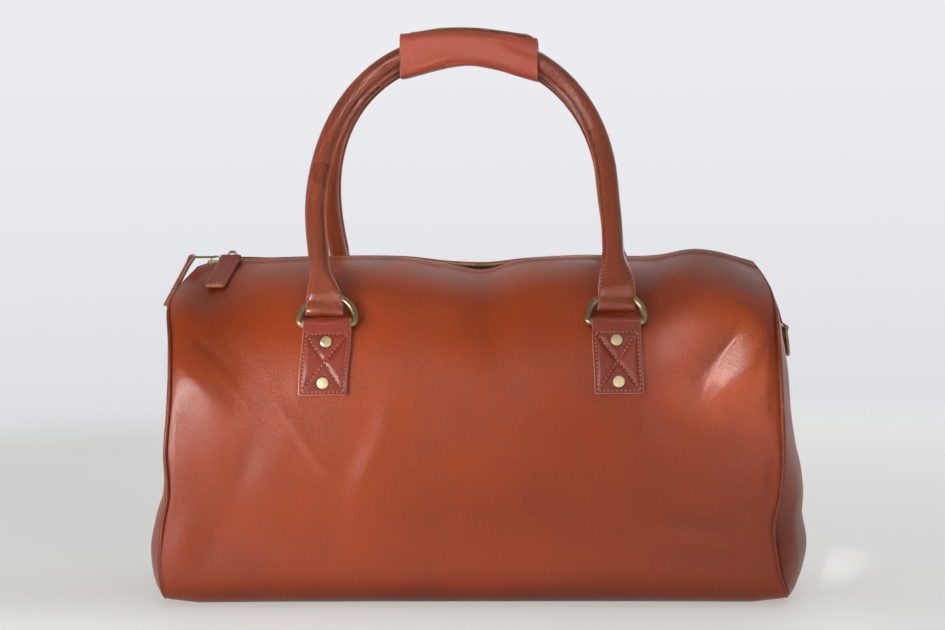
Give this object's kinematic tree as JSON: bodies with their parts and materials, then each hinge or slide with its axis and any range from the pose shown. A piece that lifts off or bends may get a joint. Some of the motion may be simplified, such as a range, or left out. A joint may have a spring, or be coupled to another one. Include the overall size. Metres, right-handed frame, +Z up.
{
  "type": "leather holdall",
  "caption": "Soft leather holdall standing on a flat base, with bellied end panels, a top zip, rolled handles on D-rings joined by a grip, and a strap ring at each end.",
  "frame": {"origin": "on the ground, under the middle of the base", "axes": "+X along the bag to the right as seen from the front, -Y out of the front, +Z up"},
  "size_m": [0.5146, 0.2409, 0.4463],
  "materials": {
    "body_leather": "smooth cognac cowhide, semi-gloss, soft creases",
    "piping_leather": "thin leather sewn round a cord",
    "handle_leather": "rolled leather, creased across",
    "tab_leather": "stitched leather with cut edges",
    "grip_leather": "lighter, redder leather with dark raw edges",
    "pull_leather": "folded leather strip with pale cut edges",
    "zip_tape": "woven dark brown tape",
    "antique_brass": "antique brass, lightly darkened",
    "bright_brass": "polished pale brass"
  },
  "bodies": {
    "bag": {"body_wrap": "body_leather", "end_panel_left": "body_leather", "end_panel_right": "body_leather", "piping_left": "piping_leather", "piping_right": "piping_leather", "zip_tape": "zip_tape", "zip_chain": "antique_brass", "zip_slider_a": "antique_brass", "zip_slider_b": "antique_brass", "zip_link_a": "antique_brass", "zip_link_b": "antique_brass", "zip_pull_a": "pull_leather", "zip_pull_b": "pull_leather", "handle_front": "handle_leather", "handle_back": "handle_leather", "handle_grip": "grip_leather", "d_ring_front_left": "antique_brass", "d_ring_front_right": "antique_brass", "d_ring_back_left": "antique_brass", "d_ring_back_right": "antique_brass", "tab_front_left": "tab_leather", "tab_front_right": "tab_leather", "tab_back_left": "tab_leather", "tab_back_right": "tab_leather", "rivet_front_left_upper": "bright_brass", "rivet_front_left_lower": "bright_brass", "rivet_front_right_upper": "bright_brass", "rivet_front_right_lower": "bright_brass", "rivet_back_left_upper": "bright_brass", "rivet_back_left_lower": "bright_brass", "rivet_back_right_upper": "bright_brass", "rivet_back_right_lower": "bright_brass", "end_tab_left": "tab_leather", "end_tab_right": "tab_leather"},
    "ring_left": {"end_ring_left": "antique_brass"},
    "ring_right": {"end_ring_right": "antique_brass"}
  },
  "joints": [
    {"name": "ring_swing_left", "type": "hinge", "parent": "bag", "child": "ring_left", "pos_m": [-0.24408, 0, 0.20559], "axis": [0, 1, 0], "range_deg": [0, 150]},
    {"name": "ring_swing_right", "type": "hinge", "parent": "bag", "child": "ring_right", "pos_m": [0.24437, 0, 0.20541], "axis": [0, -1, 0], "range_deg": [0, 150]}
  ]
}
